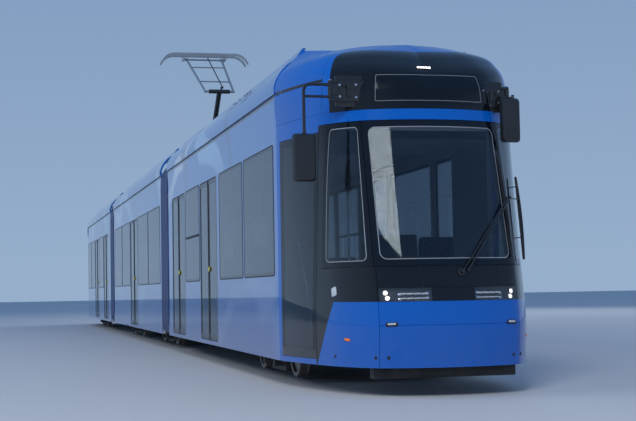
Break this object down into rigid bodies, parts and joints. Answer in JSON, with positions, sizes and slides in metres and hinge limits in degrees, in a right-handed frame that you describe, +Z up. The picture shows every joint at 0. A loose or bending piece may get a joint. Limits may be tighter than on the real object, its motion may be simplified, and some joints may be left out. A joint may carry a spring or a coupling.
{
  "type": "articulated low-floor tram",
  "caption": "Articulated low-floor tram of hinged cars on swivelling bogies, with a raked nose, plug doors on one side and a raised single-arm pantograph.",
  "frame": {"origin": "middle of the whole length, on the centre line, at the lowest point of the wheel flanges", "axes": "+X forward to the driving cab, +Y to the tram's left, +Z up"},
  "size_m": [33.3996, 2.5495, 5.6781],
  "materials": {
    "body_paint": "glossy blue two-coat paint",
    "side_paint": null,
    "roof_grey": "satin grey roof equipment covers",
    "mask_black": "high-gloss black moulded panel",
    "glass": "tinted bonded safety glass with a black border",
    "floor_grey": "speckled dark grey floor covering over an underframe",
    "seat_shell": "textured blue seat shell with padded fabric",
    "rail_steel": "yellow powder-coated grab rail",
    "bellows": "dark navy coated bellows fabric",
    "bogie_grey": "dark grey dusty frame paint",
    "wheel_steel": "rolled steel, bright at the tread, rust brown at the web",
    "lamp": "clear lamp cover over white light units",
    "tail_lamp": "red and amber lamp cover",
    "cab_trim": "dark textured cab trim",
    "panel_grey": "light grey interior panel",
    "wiper_black": "satin black arm with a rubber blade",
    "panto_steel": "grey painted steel and aluminium tube with carbon strips"
  },
  "bodies": {
    "middle_car": {"front_bellows": "bellows", "middle_doors": "body_paint", "middle_floor": "floor_grey", "middle_glazing": "glass", "middle_handrails": "rail_steel", "middle_roof": "side_paint", "middle_roof_units": "roof_grey", "middle_seats": "seat_shell", "middle_walls": "side_paint", "pantograph_base": "panto_steel", "rear_bellows": "bellows"},
    "front_car": {"cab_base": "body_paint", "cab_desk": "cab_trim", "cab_hood": "body_paint", "cab_mask": "mask_black", "cab_partition": "panel_grey", "front_doors": "body_paint", "front_floor": "floor_grey", "front_glazing": "glass", "front_handrails": "rail_steel", "front_roof": "side_paint", "front_roof_units": "roof_grey", "front_seats": "seat_shell", "front_walls": "side_paint", "headlamps": "lamp", "windscreen": "glass", "wiper": "wiper_black"},
    "rear_car": {"rear_doors": "body_paint", "rear_floor": "floor_grey", "rear_glazing": "glass", "rear_handrails": "rail_steel", "rear_roof": "side_paint", "rear_roof_units": "roof_grey", "rear_seats": "seat_shell", "rear_walls": "side_paint", "rear_windscreen": "glass", "tail_base": "body_paint", "tail_hood": "body_paint", "tail_lamps": "tail_lamp", "tail_mask": "mask_black"},
    "bogie1": {"bogie1_frame": "bogie_grey"},
    "bogie2": {"bogie2_frame": "bogie_grey"},
    "bogie3": {"bogie3_frame": "bogie_grey"},
    "bogie4": {"bogie4_frame": "bogie_grey"},
    "mirror_left": {"mirror_left": "mask_black"},
    "mirror_right": {"mirror_right": "mask_black"},
    "collector_head": {"pantograph_head": "panto_steel"},
    "lower_arm": {"pantograph_lower_arm": "panto_steel"},
    "levelling_rod": {"pantograph_rod": "panto_steel"},
    "upper_arm": {"pantograph_upper_arm": "panto_steel"},
    "wheelset1": {"wheelset1": "wheel_steel"},
    "wheelset2": {"wheelset2": "wheel_steel"},
    "wheelset3": {"wheelset3": "wheel_steel"},
    "wheelset4": {"wheelset4": "wheel_steel"},
    "wheelset5": {"wheelset5": "wheel_steel"},
    "wheelset6": {"wheelset6": "wheel_steel"},
    "wheelset7": {"wheelset7": "wheel_steel"},
    "wheelset8": {"wheelset8": "wheel_steel"}
  },
  "joints": [
    {"name": "front_articulation", "type": "hinge", "parent": "middle_car", "child": "front_car", "pos_m": [5.025, 0, 0.25], "axis": [0, 0, 1], "range_deg": [-24, 24], "deforming": ["front_bellows"]},
    {"name": "rear_articulation", "type": "hinge", "parent": "middle_car", "child": "rear_car", "pos_m": [-5.675, 0, 0.25], "axis": [0, 0, 1], "range_deg": [-24, 24], "deforming": ["rear_bellows"]},
    {"name": "bogie1_swivel", "type": "hinge", "parent": "front_car", "child": "bogie1", "pos_m": [12.6, 0, 0.3], "axis": [0, 0, 1], "range_deg": [-7, 7]},
    {"name": "wheelset1_turn", "type": "hinge", "parent": "bogie1", "child": "wheelset1", "pos_m": [13.525, 0, 0.322], "axis": [0, 1, 0], "continuous": true},
    {"name": "wheelset2_turn", "type": "hinge", "parent": "bogie1", "child": "wheelset2", "pos_m": [11.675, 0, 0.322], "axis": [0, 1, 0], "continuous": true},
    {"name": "bogie2_swivel", "type": "hinge", "parent": "middle_car", "child": "bogie2", "pos_m": [2.525, 0, 0.3], "axis": [0, 0, 1], "range_deg": [-7, 7]},
    {"name": "wheelset3_turn", "type": "hinge", "parent": "bogie2", "child": "wheelset3", "pos_m": [3.45, 0, 0.322], "axis": [0, 1, 0], "continuous": true},
    {"name": "wheelset4_turn", "type": "hinge", "parent": "bogie2", "child": "wheelset4", "pos_m": [1.6, 0, 0.322], "axis": [0, 1, 0], "continuous": true},
    {"name": "bogie3_swivel", "type": "hinge", "parent": "middle_car", "child": "bogie3", "pos_m": [-3.175, 0, 0.3], "axis": [0, 0, 1], "range_deg": [-7, 7]},
    {"name": "wheelset5_turn", "type": "hinge", "parent": "bogie3", "child": "wheelset5", "pos_m": [-2.25, 0, 0.322], "axis": [0, 1, 0], "continuous": true},
    {"name": "wheelset6_turn", "type": "hinge", "parent": "bogie3", "child": "wheelset6", "pos_m": [-4.1, 0, 0.322], "axis": [0, 1, 0], "continuous": true},
    {"name": "bogie4_swivel", "type": "hinge", "parent": "rear_car", "child": "bogie4", "pos_m": [-13.2, 0, 0.3], "axis": [0, 0, 1], "range_deg": [-7, 7]},
    {"name": "wheelset7_turn", "type": "hinge", "parent": "bogie4", "child": "wheelset7", "pos_m": [-12.275, 0, 0.322], "axis": [0, 1, 0], "continuous": true},
    {"name": "wheelset8_turn", "type": "hinge", "parent": "bogie4", "child": "wheelset8", "pos_m": [-14.125, 0, 0.322], "axis": [0, 1, 0], "continuous": true},
    {"name": "mirror_right_fold", "type": "hinge", "parent": "front_car", "child": "mirror_right", "pos_m": [15.95, -0.95, 2.872], "axis": [0, 0, -1], "range_deg": [0, 60]},
    {"name": "mirror_left_fold", "type": "hinge", "parent": "front_car", "child": "mirror_left", "pos_m": [15.98, 0.82, 2.832], "axis": [0, 0, 1], "range_deg": [0, 60]},
    {"name": "pantograph_raise", "type": "hinge", "parent": "middle_car", "child": "lower_arm", "pos_m": [2.5, 0, 3.622], "axis": [0, 1, 0], "range_deg": [-8, 37]},
    {"name": "pantograph_knee", "type": "hinge", "parent": "lower_arm", "child": "upper_arm", "pos_m": [3.7, 0, 4.672], "axis": [0, 1, 0], "range_deg": [-62, 15]},
    {"name": "pantograph_head_level", "type": "hinge", "parent": "upper_arm", "child": "collector_head", "pos_m": [1.9, 0, 5.562], "axis": [0, 1, 0], "range_deg": [-6, 24]},
    {"name": "pantograph_rod_turn", "type": "hinge", "parent": "lower_arm", "child": "levelling_rod", "pos_m": [3.7, 0.062, 4.747], "axis": [0, 1, 0], "range_deg": [-62, 15]}
  ],
  "couplings": [
    {"joint": "pantograph_knee", "follows": "pantograph_raise", "ratio": -1.608},
    {"joint": "pantograph_head_level", "follows": "pantograph_raise", "ratio": 0.608},
    {"joint": "pantograph_rod_turn", "follows": "pantograph_raise", "ratio": -1.608}
  ]
}
